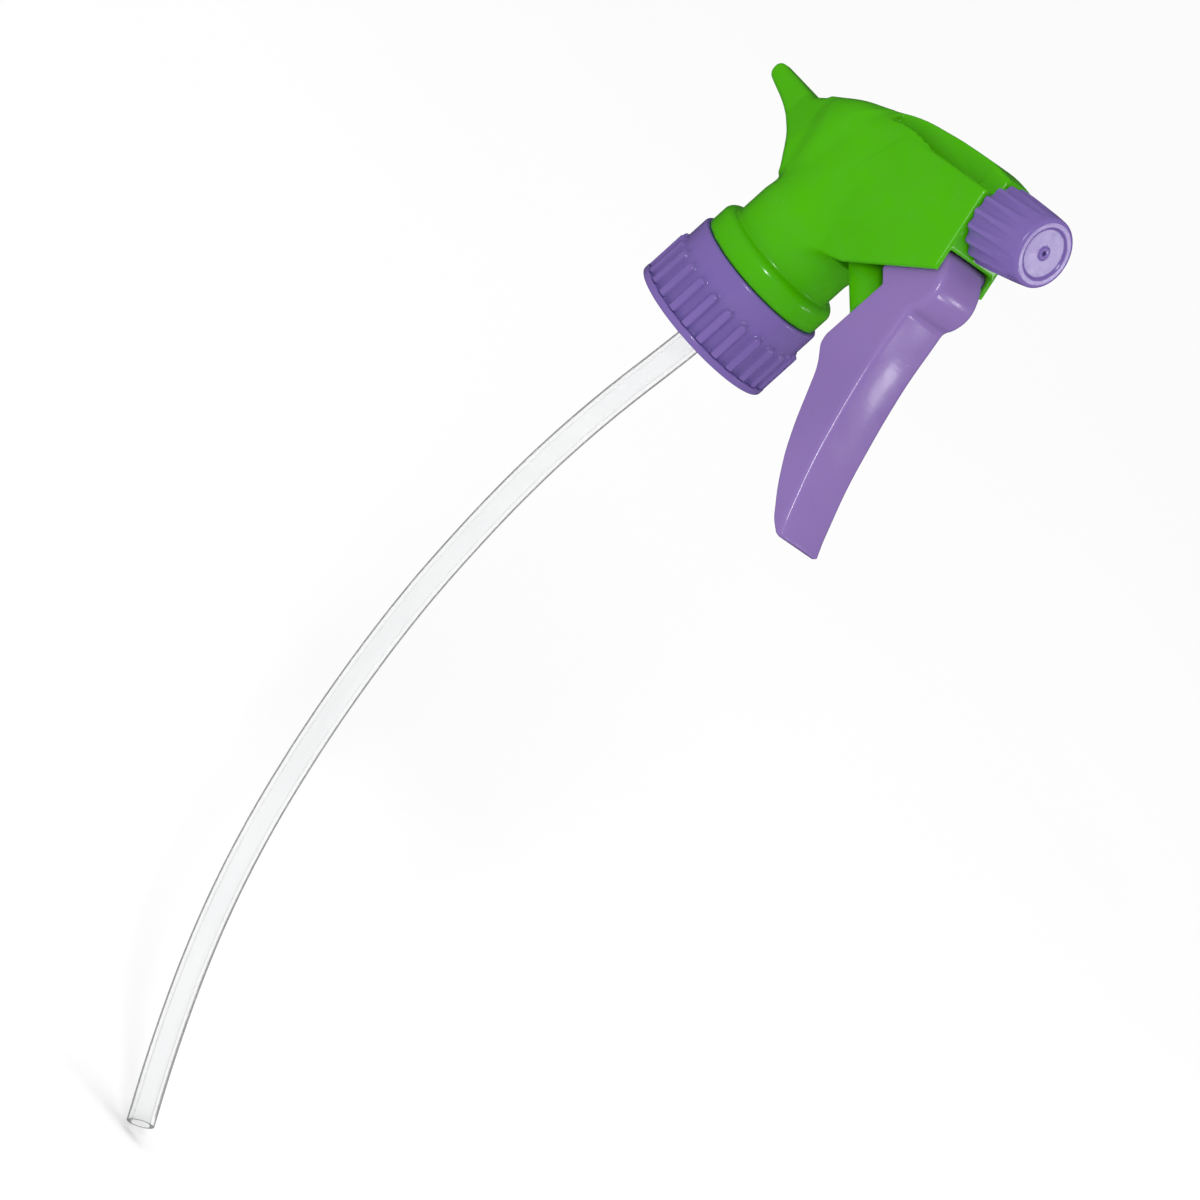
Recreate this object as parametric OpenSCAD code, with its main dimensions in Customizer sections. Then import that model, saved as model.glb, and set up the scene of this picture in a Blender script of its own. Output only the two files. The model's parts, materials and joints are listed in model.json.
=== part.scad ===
// Hand mister: a trigger spray head for a garden bottle, with its screw closure and dip tube.
//
// Frame: the origin is the centre of the plane that the bottle's mouth seals against.
// +Z runs up the closure's axis and +X points forward, to the nozzle's side. Y = 0 is the
// plane of symmetry. Millimetres.

/* [Closure] */
// Outside diameter of the closure's plain rim bead
closure_d = 34.8; // [33:0.1:42]
// Height of the closure
closure_h = 17; // [15:0.5:22]
// Depth from the closure's rim to the plane that the bottle's mouth seals against
seal_depth = 12.5; // [11:0.5:14]
// Diameter across the crests of the closure's thread
thread_crest_d = 25.9; // [25.5:0.1:27]
// Depth of the closure's thread
thread_depth = 1.2; // [0.6:0.1:1.5]
// Rise of the closure's thread in one turn
thread_pitch = 4.23; // [3:0.01:5]
// Number of grip ribs round the closure
rib_count = 24; // [12:1:36]

/* [Housing] */
// Outside diameter of the neck
neck_d = 26; // [25:0.5:30]
// Outside diameter of the collar that stands on the closure
collar_d = 30.8; // [29:0.1:32]
// Width over the shroud's side walls
body_w = 17.6; // [17.2:0.2:24]
// Thickness of the shroud's side walls
shroud_wall = 1.4; // [1.2:0.1:2]
// Width of the raised rail along the top
rail_w = 9; // [7:0.5:11]
// Height of the nozzle's axis over the origin, at the closure's axis
nozzle_axis_z = 40.8; // [40:0.2:46]
// Tilt of the nozzle's axis up from level
nozzle_tilt = 20; // [16:1:24]
// Distance along the nozzle's axis from the closure's axis to the shroud's front face
front_s = 34.5; // [32:0.1:40]

/* [Nozzle] */
// Diameter of the nozzle cap over its flutes, at the rear
cap_rear_d = 17.8; // [16.5:0.1:20]
// Diameter of the nozzle cap at the front
cap_front_d = 15.4; // [13:0.1:16]
// Length of the nozzle cap
cap_l = 14.9; // [13:0.1:18]
// Number of grip flutes round the nozzle cap
flute_count = 16; // [8:1:24]
// Diameter of the nozzle barrel over its thread
barrel_d = 11.2; // [10.8:0.1:12]
// Travel of the nozzle cap in one turn
nozzle_lead = 3; // [2.5:0.1:4]

/* [Pump] */
// Bore of the pump cylinder
pump_bore_d = 8.6; // [7.5:0.1:9]
// Outside diameter of the pump cylinder
pump_d = 10.8; // [10.4:0.1:11]
// Angle of the pump's axis below level
pump_drop = 27; // [24:1:30]
// Height at which the pump's axis meets the closure's axis
pump_axis_z = 35.5; // [34:0.1:37]
// Distance along the pump's axis from the closure's axis to the cylinder's open end
pump_end = 32; // [30:0.5:33]
// Number of turns of the return spring
spring_turns = 8; // [5:1:10]

/* [Trigger] */
// Width of the trigger
trigger_w = 13.8; // [13.4:0.1:13.8]
// Thickness of the trigger's side flanges
flange_wall = 1.15; // [1:0.05:1.2]
// Pivot's distance in front of the closure's axis
pivot_x = 33.5; // [33:0.1:34]
// Pivot's height over the origin
pivot_z = 40.5; // [40:0.1:41]
// Diameter of the trigger's pivot stubs
pivot_d = 4; // [3:0.1:5]

/* [Dip tube] */
// Outside diameter of the dip tube
tube_d = 5.9; // [5:0.1:6.4]
// Number of sides of the dip tube's solid
tube_sides = 12; // [8:1:12]

/* [Hidden] */
$fn = 64;

green = [0.31, 0.70, 0.01];
purple = [0.50, 0.42, 0.67];
clear = [0.92, 0.94, 0.94, 0.5];
white = [0.93, 0.93, 0.90];
black = [0.10, 0.10, 0.11];
steel = [0.75, 0.76, 0.78];

run_gap = 0.05;        // radial gap of a piece that turns or slides in a bore
face_gap = 0.3;        // gap between faces that pass each other
over = 1;              // how far a cutting solid runs past a face

// Closure
closure_top = closure_h - seal_depth;
band_top = closure_top - 5.5;                 // top of the ribbed band
band_r = closure_d / 2;
recess_r = band_r - 0.75;                     // floor between the grip ribs
smooth_r = band_r - 1.1;                      // plain upper band
rim_h = 1.6;                                  // height of the plain rim bead
crest_r = thread_crest_d / 2;
closure_plate = 1.3;                          // thickness of the closure's top
closure_plate_z = closure_top - closure_plate;

// Neck and collar
neck_r = neck_d / 2;
collar_r = collar_d / 2;
neck_bore_r = neck_r - 1.8;
collar_z = closure_top + face_gap;
collar_h = 5.6;
neck_top = 19;                                // where the neck starts to flow into the body
neck_roof = 21.5;                             // ceiling of the hollow neck
column_r = 5.8;                               // tube inside the neck that takes the stem
closure_hole_r = neck_bore_r + face_gap;

// Gasket and intake
gasket_t = 1.5;
flange_t = closure_plate_z - face_gap - gasket_t;
flange_r = crest_r - 0.45;                    // passes through the closure's thread
hub_r = 7.6;                                  // boss that centres the gasket
stem_r = 4;                                   // intake tube that plugs into the column
stem_top = 28;
holder_r = 4.4;                               // socket that grips the dip tube
holder_l = 10.5;
tube_r = tube_d / 2;
tube_top = -1;
flow_r = 1.4;                                 // inlet passage under the ball
ball_r = 1.9;
cage_r = 2.3;
seat_z = 4;                                   // foot of the ball's conical seat
seat_h = 1;
cage_top = 9.6;
upper_flow_r = 1.6;

// Pump
bore_r = pump_bore_d / 2;
pump_r = pump_d / 2;
bore_floor = 8;                               // bottom of the pump's bore along its axis
rod_r = 3;
rod_end = 41.85;                              // the piston's tip at rest
pad_u = rod_end + 0.15;                       // face of the trigger's pusher at rest
piston_back = 22;                             // the piston's inner end at rest
cup_l = 4;
rod_shoulder = piston_back + cup_l;
spring_wire_r = 0.4;
spring_coil_r = 2.6;
spring_seat = 24.4;                           // depth at which the spring bears on the cup

// Nozzle, measured along its axis
barrel_r = barrel_d / 2;
barrel_root_r = barrel_r - 0.6;
barrel_end = front_s + 10.5;
thread_offset = 2.4;                          // start of the barrel's first groove
cap_start = front_s + 0.5;
cap_end = cap_start + cap_l;
packing_t = 0.9;
packing_start = barrel_end + 0.1;
cap_floor = packing_start + packing_t;
chamber_r = 3.4;                              // room for the outlet valve and spinner
chamber_start = 27;
outlet_flow_r = 1.6;
valve_start = chamber_start + 0.1;
valve_t = 1.4;
spinner_start = front_s + 1.8;
outlet_spring_start = valve_start + valve_t + 0.05;
orifice_r = 0.5;

// Shroud outlines, all in the X-Z plane
rail_top = 10.2;                              // top of the rail over the nozzle's axis
deck_top = 2;                                 // floor of the grooves beside the rail
deck_bottom = -6.2;                           // ceiling of the trigger's bay
lip_l = 2.4;                                  // solid lip at the front end of the grooves
wall_top_front = 4.7;                         // top of the side walls over the nozzle's axis
wall_top_rear = 6.4;
inner_half = body_w / 2 - shroud_wall;

// The dip tube's route: [x, z] down the tube, in the plane of symmetry
tube_route = [
    [0, -1], [0, -6], [0, -11], [-0.3, -17], [-0.9, -24], [-1.6, -31], [-2.2, -39],
    [-2.5, -48], [-2.4, -57], [-1.8, -67], [-0.6, -78], [1.2, -90], [3.5, -101], [6.4, -112],
    [9.8, -123], [13.8, -134], [18.4, -145], [23.6, -155.5], [29.4, -165.5], [35.8, -175],
    [42.6, -184], [50, -193], [58, -202]
];

// ---------- helpers ----------

module on_nozzle_axis() {
    translate([0, 0, nozzle_axis_z]) rotate([0, 90 - nozzle_tilt, 0]) children();
}

module on_pump_axis() {
    translate([0, 0, pump_axis_z]) rotate([0, 90 + pump_drop, 0]) children();
}

// A point in the X-Z plane that is s along the nozzle's axis and t over it
function nozzle_point(s, t) = [
    s * cos(nozzle_tilt) - t * sin(nozzle_tilt),
    nozzle_axis_z + s * sin(nozzle_tilt) + t * cos(nozzle_tilt)
];

// An outline in the X-Z plane, given a width centred on Y = 0
module side_slab(width, outline) {
    translate([0, width / 2, 0]) rotate([90, 0, 0]) linear_extrude(height = width) polygon(outline);
}

module pipe(outer, inner, h) {
    difference() {
        cylinder(r = outer, h = h);
        translate([0, 0, -over]) cylinder(r = inner, h = h + 2 * over);
    }
}

// Faces of a chain of rings, each of `sides` points, closed at both ends
function ring_faces(rings, sides) = concat(
    [[for (k = [0 : sides - 1]) k]],
    [for (i = [0 : rings - 2], k = [0 : sides - 1])
        [i * sides + (k + 1) % sides, i * sides + k, (i + 1) * sides + k]],
    [for (i = [0 : rings - 2], k = [0 : sides - 1])
        [i * sides + (k + 1) % sides, (i + 1) * sides + k, (i + 1) * sides + (k + 1) % sides]],
    [[for (k = [sides - 1 : -1 : 0]) (rings - 1) * sides + k]]
);

// A helical bar of four-sided section, for cutting a thread. It is `inner_w` wide at
// `inner_r` and `outer_w` wide at `outer_r`, and rises `lead` in one turn.
module helix_bar(inner_r, outer_r, inner_w, outer_w, lead, turns, steps = 36) {
    count = round(turns * steps);
    section = [
        [inner_r, -inner_w / 2], [inner_r, inner_w / 2], [outer_r, outer_w / 2], [outer_r, -outer_w / 2]
    ];
    points = [for (i = [0 : count], p = section)
        let (a = 360 * i / steps)
        [p[0] * cos(a), p[0] * sin(a), p[1] + lead * i / steps]];
    polyhedron(points, ring_faces(count + 1, 4));
}

// A coil spring of round wire along +Z, from the centre of its first turn
module coil(coil_r, wire_r, length, turns, steps = 16, sides = 6) {
    count = turns * steps;
    points = [for (i = [0 : count], k = [0 : sides - 1])
        let (a = 360 * i / steps, b = -360 * k / sides)
        [(coil_r + wire_r * cos(b)) * cos(a), (coil_r + wire_r * cos(b)) * sin(a),
         wire_r * sin(b) + length * i / count]];
    polyhedron(points, ring_faces(count + 1, sides));
}

// ---------- closure and intake ----------

module closure() {
    bevel = 0.8;
    lead_in = 1.5;                            // plain mouth under the thread
    flange_room_r = crest_r + 0.2;
    color(purple) difference() {
        union() {
            translate([0, 0, -seal_depth]) cylinder(r = band_r, h = rim_h);
            translate([0, 0, -seal_depth]) linear_extrude(height = band_top + seal_depth) ribbed_band();
            translate([0, 0, band_top - over]) cylinder(r = smooth_r, h = closure_top - bevel - band_top + over);
            translate([0, 0, closure_top - bevel]) cylinder(r1 = smooth_r, r2 = smooth_r - bevel, h = bevel);
        }
        translate([0, 0, -seal_depth - over]) cylinder(r = crest_r, h = seal_depth + gasket_t + over);
        translate([0, 0, -seal_depth - over]) cylinder(r = crest_r + thread_depth, h = lead_in + over);
        translate([0, 0, gasket_t - 0.1]) cylinder(r = flange_room_r, h = closure_plate_z - gasket_t + 0.1);
        cylinder(r = closure_hole_r, h = closure_top + over);
        translate([0, 0, -seal_depth - 0.5])
            helix_bar(crest_r - 0.6, crest_r + thread_depth, 3, 2.2, thread_pitch, 2.4);
    }
}

module ribbed_band() {
    rib_r = 1.05;
    circle(r = recess_r, $fn = 96);
    for (i = [0 : rib_count - 1])
        rotate(i * 360 / rib_count) translate([band_r - 0.1 - rib_r, 0]) circle(r = rib_r, $fn = 24);
}

module gasket() {
    color(white) pipe(flange_r, hub_r + face_gap / 2, gasket_t);
}

module intake() {
    plug_h = 3;                               // part of the plug over the collar's foot
    plug_wall = 1.8;
    color(white) difference() {
        union() {
            translate([0, 0, gasket_t]) cylinder(r = flange_r, h = flange_t);
            cylinder(r = hub_r, h = gasket_t + over);
            translate([0, 0, gasket_t]) cylinder(r = neck_bore_r - run_gap, h = collar_z + plug_h - gasket_t);
            translate([0, 0, -holder_l]) cylinder(r = holder_r, h = holder_l + over);
            cylinder(r = stem_r, h = stem_top);
        }
        translate([0, 0, collar_z]) pipe(neck_bore_r - plug_wall, column_r - face_gap, plug_h + over);
        translate([0, 0, -holder_l - over]) cylinder(r = tube_r + run_gap, h = holder_l + tube_top + over);
        translate([0, 0, tube_top - over]) cylinder(r = flow_r, h = seat_z - tube_top + 2 * over);
        translate([0, 0, seat_z]) cylinder(r1 = flow_r, r2 = cage_r, h = seat_h);
        translate([0, 0, seat_z + seat_h]) cylinder(r = cage_r, h = cage_top - seat_z - seat_h);
        translate([0, 0, cage_top - over]) cylinder(r = upper_flow_r, h = stem_top - cage_top + 2 * over);
    }
}

// The ball rests in the cone of its seat, a hair off it
module inlet_ball() {
    slope = (cage_r - flow_r) / seat_h;
    centre_rise = (ball_r * norm([1, slope]) - flow_r) / slope;
    color(steel) translate([0, 0, seat_z + centre_rise + run_gap]) sphere(r = ball_r);
}

module dip_tube() {
    last = len(tube_route) - 1;
    points = [for (i = [0 : last], k = [0 : tube_sides - 1])
        let (along = tube_route[min(i + 1, last)] - tube_route[max(i - 1, 0)],
             normal = [-along[1], along[0]] / norm(along),
             a = -360 * k / tube_sides,
             out = tube_r * cos(a))
        [tube_route[i][0] + out * normal[0], tube_r * sin(a), tube_route[i][1] + out * normal[1]]];
    color(clear) polyhedron(points, ring_faces(last + 1, tube_sides));
}

// ---------- housing ----------

function arc(cx, cz, r, from, to, steps) =
    [for (i = [0 : steps]) let (a = from + (to - from) * i / steps) [cx + r * cos(a), cz + r * sin(a)]];

// Collar bell and neck, as one turned shape
module collar_and_neck() {
    round_r = 1.8;
    rotate_extrude() polygon(concat(
        [[0, collar_z], [collar_r - 0.5, collar_z], [collar_r, collar_z + 0.5]],
        arc(collar_r - round_r, collar_z + collar_h - round_r, round_r, 0, 80, 6),
        [[neck_r, collar_z + collar_h + 0.3], [neck_r, neck_top], [0, neck_top]]
    ));
}

// The neck flows up into the narrow, round-backed body
module body_blend() {
    hull() {
        translate([0, 0, neck_top - 1.5]) cylinder(r = neck_r, h = 1.5, $fn = 40);
        translate([-2.5, 0, 37]) sphere(r = body_w / 2 - 0.4, $fn = 32);
        translate([9, 0, 34]) sphere(r = body_w / 2 - 0.4, $fn = 32);
    }
}

function rail_outline() = concat(
    [nozzle_point(front_s, deck_bottom), nozzle_point(front_s, rail_top - 0.8), nozzle_point(front_s - 1, rail_top)],
    [nozzle_point(16, rail_top + 0.5), nozzle_point(6, rail_top + 0.1)],
    [[-6, 48.2], [-12.5, 44.2], [-19, 38.8], [-15, 34], [0, 30]]
);

function wall_outline() = concat(
    [nozzle_point(front_s, wall_top_front), nozzle_point(18, 5.6), nozzle_point(4, wall_top_rear)],
    [[-6, 44], [-10, 38], [-8, 28], [9, 18.2], [18.5, 22.9]],
    [nozzle_point(front_s, -14.4)]
);

function deck_outline() = [
    nozzle_point(front_s, deck_bottom), nozzle_point(front_s, deck_top),
    nozzle_point(2, deck_top), [-6, 36], [-4, 30]
];

function bay_outline() = [
    nozzle_point(front_s + 8, deck_bottom), nozzle_point(14, deck_bottom), [8, 36.5],
    [4, 33], [0, 30], [0, 24.5], [12, 23.5], [16, 19], [30, 14], [52, 30]
];

// The tail: a hooked spur over the hand, wide at the body and narrow at its tip
module tail() {
    intersection() {
        side_slab(body_w, concat(
            [[-8, 23], [-13, 21.4], [-16.5, 23.9], [-21, 26.3], [-29.3, 28.5], [-36, 29.3]],
            arc(-37.8, 31, 1.6, 250, 80, 6),
            [[-24.4, 34.8], [-19, 38.8], [-12.5, 44], [-6, 46]]
        ));
        linear_extrude(height = 60) polygon([
            [-40, -2], [-26, -3.4], [-16, -6.6], [-6, -8.4], [-6, 8.4], [-16, 6.6], [-26, 3.4], [-40, 2]
        ]);
    }
}

module shroud() {
    side_slab(body_w, wall_outline());
    side_slab(rail_w, rail_outline());
    side_slab(body_w, deck_outline());
    tail();
}

// Grooves beside the rail, between it and the side walls
module rail_grooves() {
    for (side = [-1, 1])
        translate([0, side * (rail_w / 2 + (inner_half - rail_w / 2) / 2), 0])
            side_slab(inner_half - rail_w / 2, [
                nozzle_point(front_s - lip_l, deck_top), nozzle_point(front_s - lip_l, 14),
                nozzle_point(5, 14), nozzle_point(9, deck_top)
            ]);
}

// The nozzle barrel's thread runs out into a relief at each end
module barrel() {
    relief_r = barrel_root_r - 0.3;
    on_nozzle_axis() difference() {
        translate([0, 0, front_s - over]) cylinder(r = barrel_r, h = barrel_end - front_s + over);
        translate([0, 0, front_s + 1.6]) pipe(barrel_r + over, relief_r, 2);
        translate([0, 0, front_s + 8]) pipe(barrel_r + over, relief_r, barrel_end - front_s);
        translate([0, 0, front_s + thread_offset])
            helix_bar(barrel_root_r, barrel_r + 0.6, 1.6, 2.2, nozzle_lead, 2.2);
    }
}

module housing() {
    color(green) difference() {
        union() {
            difference() {
                union() {
                    collar_and_neck();
                    body_blend();
                    shroud();
                }
                rail_grooves();
                side_slab(2 * inner_half, bay_outline());
                translate([0, 0, collar_z - over]) cylinder(r = neck_bore_r, h = neck_roof - collar_z + over);
            }
            translate([0, 0, collar_z + 3.6]) cylinder(r = column_r, h = nozzle_axis_z - collar_z - 3.6);
            on_pump_axis() cylinder(r = pump_r, h = pump_end);
            barrel();
        }
        translate([0, 0, collar_z]) cylinder(r = stem_r + run_gap, h = stem_top + 0.3 - collar_z);
        cylinder(r = upper_flow_r + 0.4, h = nozzle_axis_z);
        on_pump_axis() cylinder(r = 1.5, h = bore_floor + over);
        on_pump_axis() translate([0, 0, bore_floor]) cylinder(r = bore_r, h = pump_end);
        on_nozzle_axis() cylinder(r = outlet_flow_r, h = chamber_start + over);
        on_nozzle_axis() translate([0, 0, chamber_start]) cylinder(r = chamber_r, h = barrel_end);
        translate([pivot_x, 0, pivot_z]) rotate([90, 0, 0])
            cylinder(r = pivot_d / 2 + run_gap, h = body_w - 1, center = true);
    }
}

// ---------- trigger and pump ----------

// Front face of the trigger, from the top of the knuckle down to the tip
trigger_front = [
    [pivot_x - 2, pivot_z + 3], [pivot_x + 1.5, pivot_z + 3], [pivot_x + 5.2, pivot_z - 0.6],
    [pivot_x + 7.3, pivot_z - 3.6], [pivot_x + 7.8, pivot_z - 6.6], [pivot_x + 7.2, pivot_z - 9.6],
    [39.7, 28.6], [40.7, 25.2], [42.9, 17.7], [46.5, 8.7], [52.9, -4.9], [59.7, -15.7], [62, -18.7]
];

// Rear edge of the trigger's flanges, from the tip up to the pivot
trigger_rear = [
    [60.6, -19.6], [56.8, -18.2], [51, -14], [45.6, -9], [41.3, -3.8], [34.1, 6.6], [30, 9.6], [29.2, 11.5],
    [29.4, 27.4], [26, 29.3], [26, 36], [28.5, 41]
];

// Space between the flanges, behind the front wall
trigger_channel = [
    [38.4, 36], [38.9, 33.2], [38.6, 31], [37.6, 28.4], [38.6, 24.8], [40.8, 17.2], [44.4, 8],
    [50.8, -5.6], [56.4, -14.4], [54, -24], [10, -10], [10, 36]
];

module trigger() {
    color(purple) {
        difference() {
            side_slab(trigger_w, concat(trigger_front, trigger_rear));
            side_slab(trigger_w - 2 * flange_wall, trigger_channel);
        }
        intersection() {
            side_slab(trigger_w - over, concat(trigger_front, trigger_rear));
            on_pump_axis() translate([-5, -2.5, pad_u]) cube([6, 5, 8]);
        }
        for (side = [-1, 1])
            translate([pivot_x, side * (trigger_w / 2 - 0.2), pivot_z]) rotate([-90 * side, 0, 0])
                cylinder(r = pivot_d / 2, h = body_w / 2 - 0.75 - trigger_w / 2 + 0.2);
    }
}

module piston() {
    color(white) on_pump_axis() {
        translate([0, 0, rod_shoulder]) cylinder(r = rod_r + 0.9, h = 3);
        translate([0, 0, rod_shoulder]) cylinder(r = rod_r, h = rod_end - rod_r - rod_shoulder);
        translate([0, 0, rod_end - rod_r]) sphere(r = rod_r);
        translate([0, 0, spring_seat]) cylinder(r = 1.5, h = rod_shoulder - spring_seat + over);
    }
}

// Cup seal on the piston's inner end: two lips that wipe the bore
module piston_cup() {
    lip_r = bore_r - run_gap;
    color(black) on_pump_axis() translate([0, 0, piston_back]) difference() {
        rotate_extrude() polygon([
            [0, 0], [lip_r, 0], [lip_r, 0.8], [lip_r - 0.6, 1.4], [lip_r - 0.6, cup_l - 1.4],
            [lip_r, cup_l - 0.8], [lip_r, cup_l], [0, cup_l]
        ]);
        translate([0, 0, -over]) cylinder(r = spring_coil_r + spring_wire_r + 0.3, h = spring_seat - piston_back + over);
        translate([0, 0, -over]) cylinder(r = 1.5 + 0.02, h = cup_l + 2 * over);
    }
}

module return_spring() {
    length = spring_seat - bore_floor - 2 * spring_wire_r - 0.1;
    color(steel) on_pump_axis() translate([0, 0, bore_floor + spring_wire_r + 0.05])
        coil(spring_coil_r, spring_wire_r, length, spring_turns);
}

// ---------- outlet and nozzle ----------

module outlet_valve() {
    color(white) on_nozzle_axis() translate([0, 0, valve_start]) {
        cylinder(r1 = outlet_flow_r + 0.5, r2 = chamber_r - 0.5, h = valve_t / 2);
        translate([0, 0, valve_t / 2]) cylinder(r = chamber_r - 0.5, h = valve_t / 2);
        translate([0, 0, valve_t / 2]) cylinder(r = 1, h = valve_t / 2 + 1.6);
    }
}

module outlet_spring() {
    wire_r = 0.25;
    length = spinner_start - outlet_spring_start - 2 * wire_r - 0.05;
    color(steel) on_nozzle_axis() translate([0, 0, outlet_spring_start + wire_r])
        coil(2, wire_r, length, 6);
}

// Swirl core, held in the end of the barrel: side channels feed three tangent slots at its tip
module spinner() {
    spinner_l = barrel_end - spinner_start;
    color(white) on_nozzle_axis() translate([0, 0, spinner_start]) difference() {
        cylinder(r = chamber_r - 0.02, h = spinner_l);
        for (i = [0 : 2]) rotate(i * 120) {
            translate([chamber_r, 0, -over]) cylinder(r = 0.8, h = spinner_l - 0.8 + over);
            translate([0.4, -0.35, spinner_l - 0.8]) cube([chamber_r, 0.7, 0.8 + over]);
        }
        translate([0, 0, spinner_l - 0.8]) cylinder(r = 1, h = 0.8 + over);
    }
}

module nozzle_packing() {
    color(white) on_nozzle_axis() translate([0, 0, packing_start]) pipe(barrel_r, 2, packing_t);
}

module nozzle_cap() {
    rear_r = cap_rear_d / 2;
    front_r = cap_front_d / 2;
    thread_r = barrel_root_r + 0.15;          // crest of the cap's own thread
    flute_r = 1.5;
    flute_lean = 2;                           // angle at which the flutes run in towards the axis
    color(purple) on_nozzle_axis() difference() {
        translate([0, 0, cap_start]) rotate_extrude() polygon(concat(
            [[0, 0], [rear_r - 0.5, 0], [rear_r, 0.6], [rear_r - 0.1, 3.5], [front_r + 0.45, cap_l - 3.5]],
            arc(front_r - 1.2, cap_l - 1.3, 1.3, 10, 90, 5),
            [[front_r - 2, cap_l], [front_r - 2.3, cap_l - 0.5], [0, cap_l - 0.5]]
        ));
        translate([0, 0, cap_start - over]) cylinder(r = thread_r, h = cap_floor - cap_start + over);
        translate([0, 0, cap_start - over]) cylinder(r = barrel_r + 0.3, h = 1.2 + over);
        translate([0, 0, packing_start - 0.15]) cylinder(r = barrel_r + 0.05, h = packing_t + 0.15);
        translate([0, 0, front_s + thread_offset - nozzle_lead / 2])
            helix_bar(thread_r - 0.5, barrel_r + 0.15, 2.3, 1.6, nozzle_lead, 2.7);
        cylinder(r = orifice_r, h = cap_end + over);
        for (i = [0 : flute_count - 1]) rotate((i + 0.5) * 360 / flute_count)
            translate([rear_r + 0.8, 0, cap_start - over]) rotate([0, -flute_lean, 0])
                cylinder(r1 = flute_r, r2 = flute_r - 0.4, h = 14);
    }
}

housing();
closure();
gasket();
intake();
inlet_ball();
dip_tube();
trigger();
piston();
piston_cup();
return_spring();
outlet_valve();
outlet_spring();
spinner();
nozzle_packing();
nozzle_cap();
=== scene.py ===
"""Looks of the hand mister: a trigger spray head with its screw closure and clear dip tube.

Shapes are worked out in millimetres, in the CAD's own frame, and turned into metres as
each mesh is made. The closure's axis is Z, and the nozzle, pump and trigger lie in Y = 0.
"""

import json
import math

import bpy
import numpy as np
import openvdb
from mathutils import Matrix, Vector


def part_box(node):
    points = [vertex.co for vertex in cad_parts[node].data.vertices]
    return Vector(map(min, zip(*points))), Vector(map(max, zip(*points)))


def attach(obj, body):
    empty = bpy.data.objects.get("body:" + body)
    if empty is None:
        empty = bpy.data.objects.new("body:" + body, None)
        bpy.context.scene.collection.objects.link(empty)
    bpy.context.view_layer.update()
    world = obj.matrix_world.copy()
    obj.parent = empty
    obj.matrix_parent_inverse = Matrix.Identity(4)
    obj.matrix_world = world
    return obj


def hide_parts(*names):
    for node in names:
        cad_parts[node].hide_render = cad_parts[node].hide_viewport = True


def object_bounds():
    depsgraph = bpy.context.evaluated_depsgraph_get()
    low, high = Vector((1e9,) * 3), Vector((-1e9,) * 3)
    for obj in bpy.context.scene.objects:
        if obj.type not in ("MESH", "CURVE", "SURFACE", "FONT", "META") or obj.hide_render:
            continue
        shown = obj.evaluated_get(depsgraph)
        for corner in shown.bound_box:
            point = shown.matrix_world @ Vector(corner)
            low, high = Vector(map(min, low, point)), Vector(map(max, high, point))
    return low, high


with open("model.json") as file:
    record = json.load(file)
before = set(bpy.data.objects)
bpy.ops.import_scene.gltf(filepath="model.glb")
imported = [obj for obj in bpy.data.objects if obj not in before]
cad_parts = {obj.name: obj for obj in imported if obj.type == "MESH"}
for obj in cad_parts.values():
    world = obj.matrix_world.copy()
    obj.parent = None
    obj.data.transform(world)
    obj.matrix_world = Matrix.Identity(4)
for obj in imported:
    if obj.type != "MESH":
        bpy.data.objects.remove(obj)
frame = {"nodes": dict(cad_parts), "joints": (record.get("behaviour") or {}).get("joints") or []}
cad_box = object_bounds()

MM = 0.001
joints = {joint["name"]: joint for joint in frame["joints"]}


# ---------- sizes taken from the frame, in millimetres ----------

def node_box(node):
    """Lowest and highest corner of a CAD node, in millimetres."""
    low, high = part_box(node)
    return np.array(low) / MM, np.array(high) / MM


closure_low, closure_high = node_box("closure")
housing_low, housing_high = node_box("housing")
trigger_low, trigger_high = node_box("trigger")
band_r = closure_high[0]
rim_z = closure_low[2]
closure_top = closure_high[2]

nozzle_axis = np.array(joints["nozzle_turn"]["axis"])
nozzle_tilt = math.atan2(nozzle_axis[2], nozzle_axis[0])
nozzle_axis_z = joints["nozzle_turn"]["pos_m"][2] / MM
pump_axis = np.array(joints["piston_slide"]["axis"])
pump_drop = math.atan2(-pump_axis[2], pump_axis[0])
pump_axis_z = 35.5               # where the pump's axis meets the closure's, as in the CAD
pivot_x = joints["trigger_pull"]["pos_m"][0] / MM
pivot_z = joints["trigger_pull"]["pos_m"][2] / MM


# ---------- camera ----------

VIEW_AZIMUTH = 41.3        # degrees round from the -Y side, towards the nozzle
VIEW_ELEVATION = 12.4
VIEW_ROLL = 48.0           # the spray head leans back to the left by this much
VIEW_WIDTH = 0.245         # metres across the picture, at the object
CAMERA_DISTANCE = 8.0      # metres; over 11 the other views clip the object away
VIEW_CENTRE = Vector((0.0276, 0.0094, -0.0633))


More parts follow.
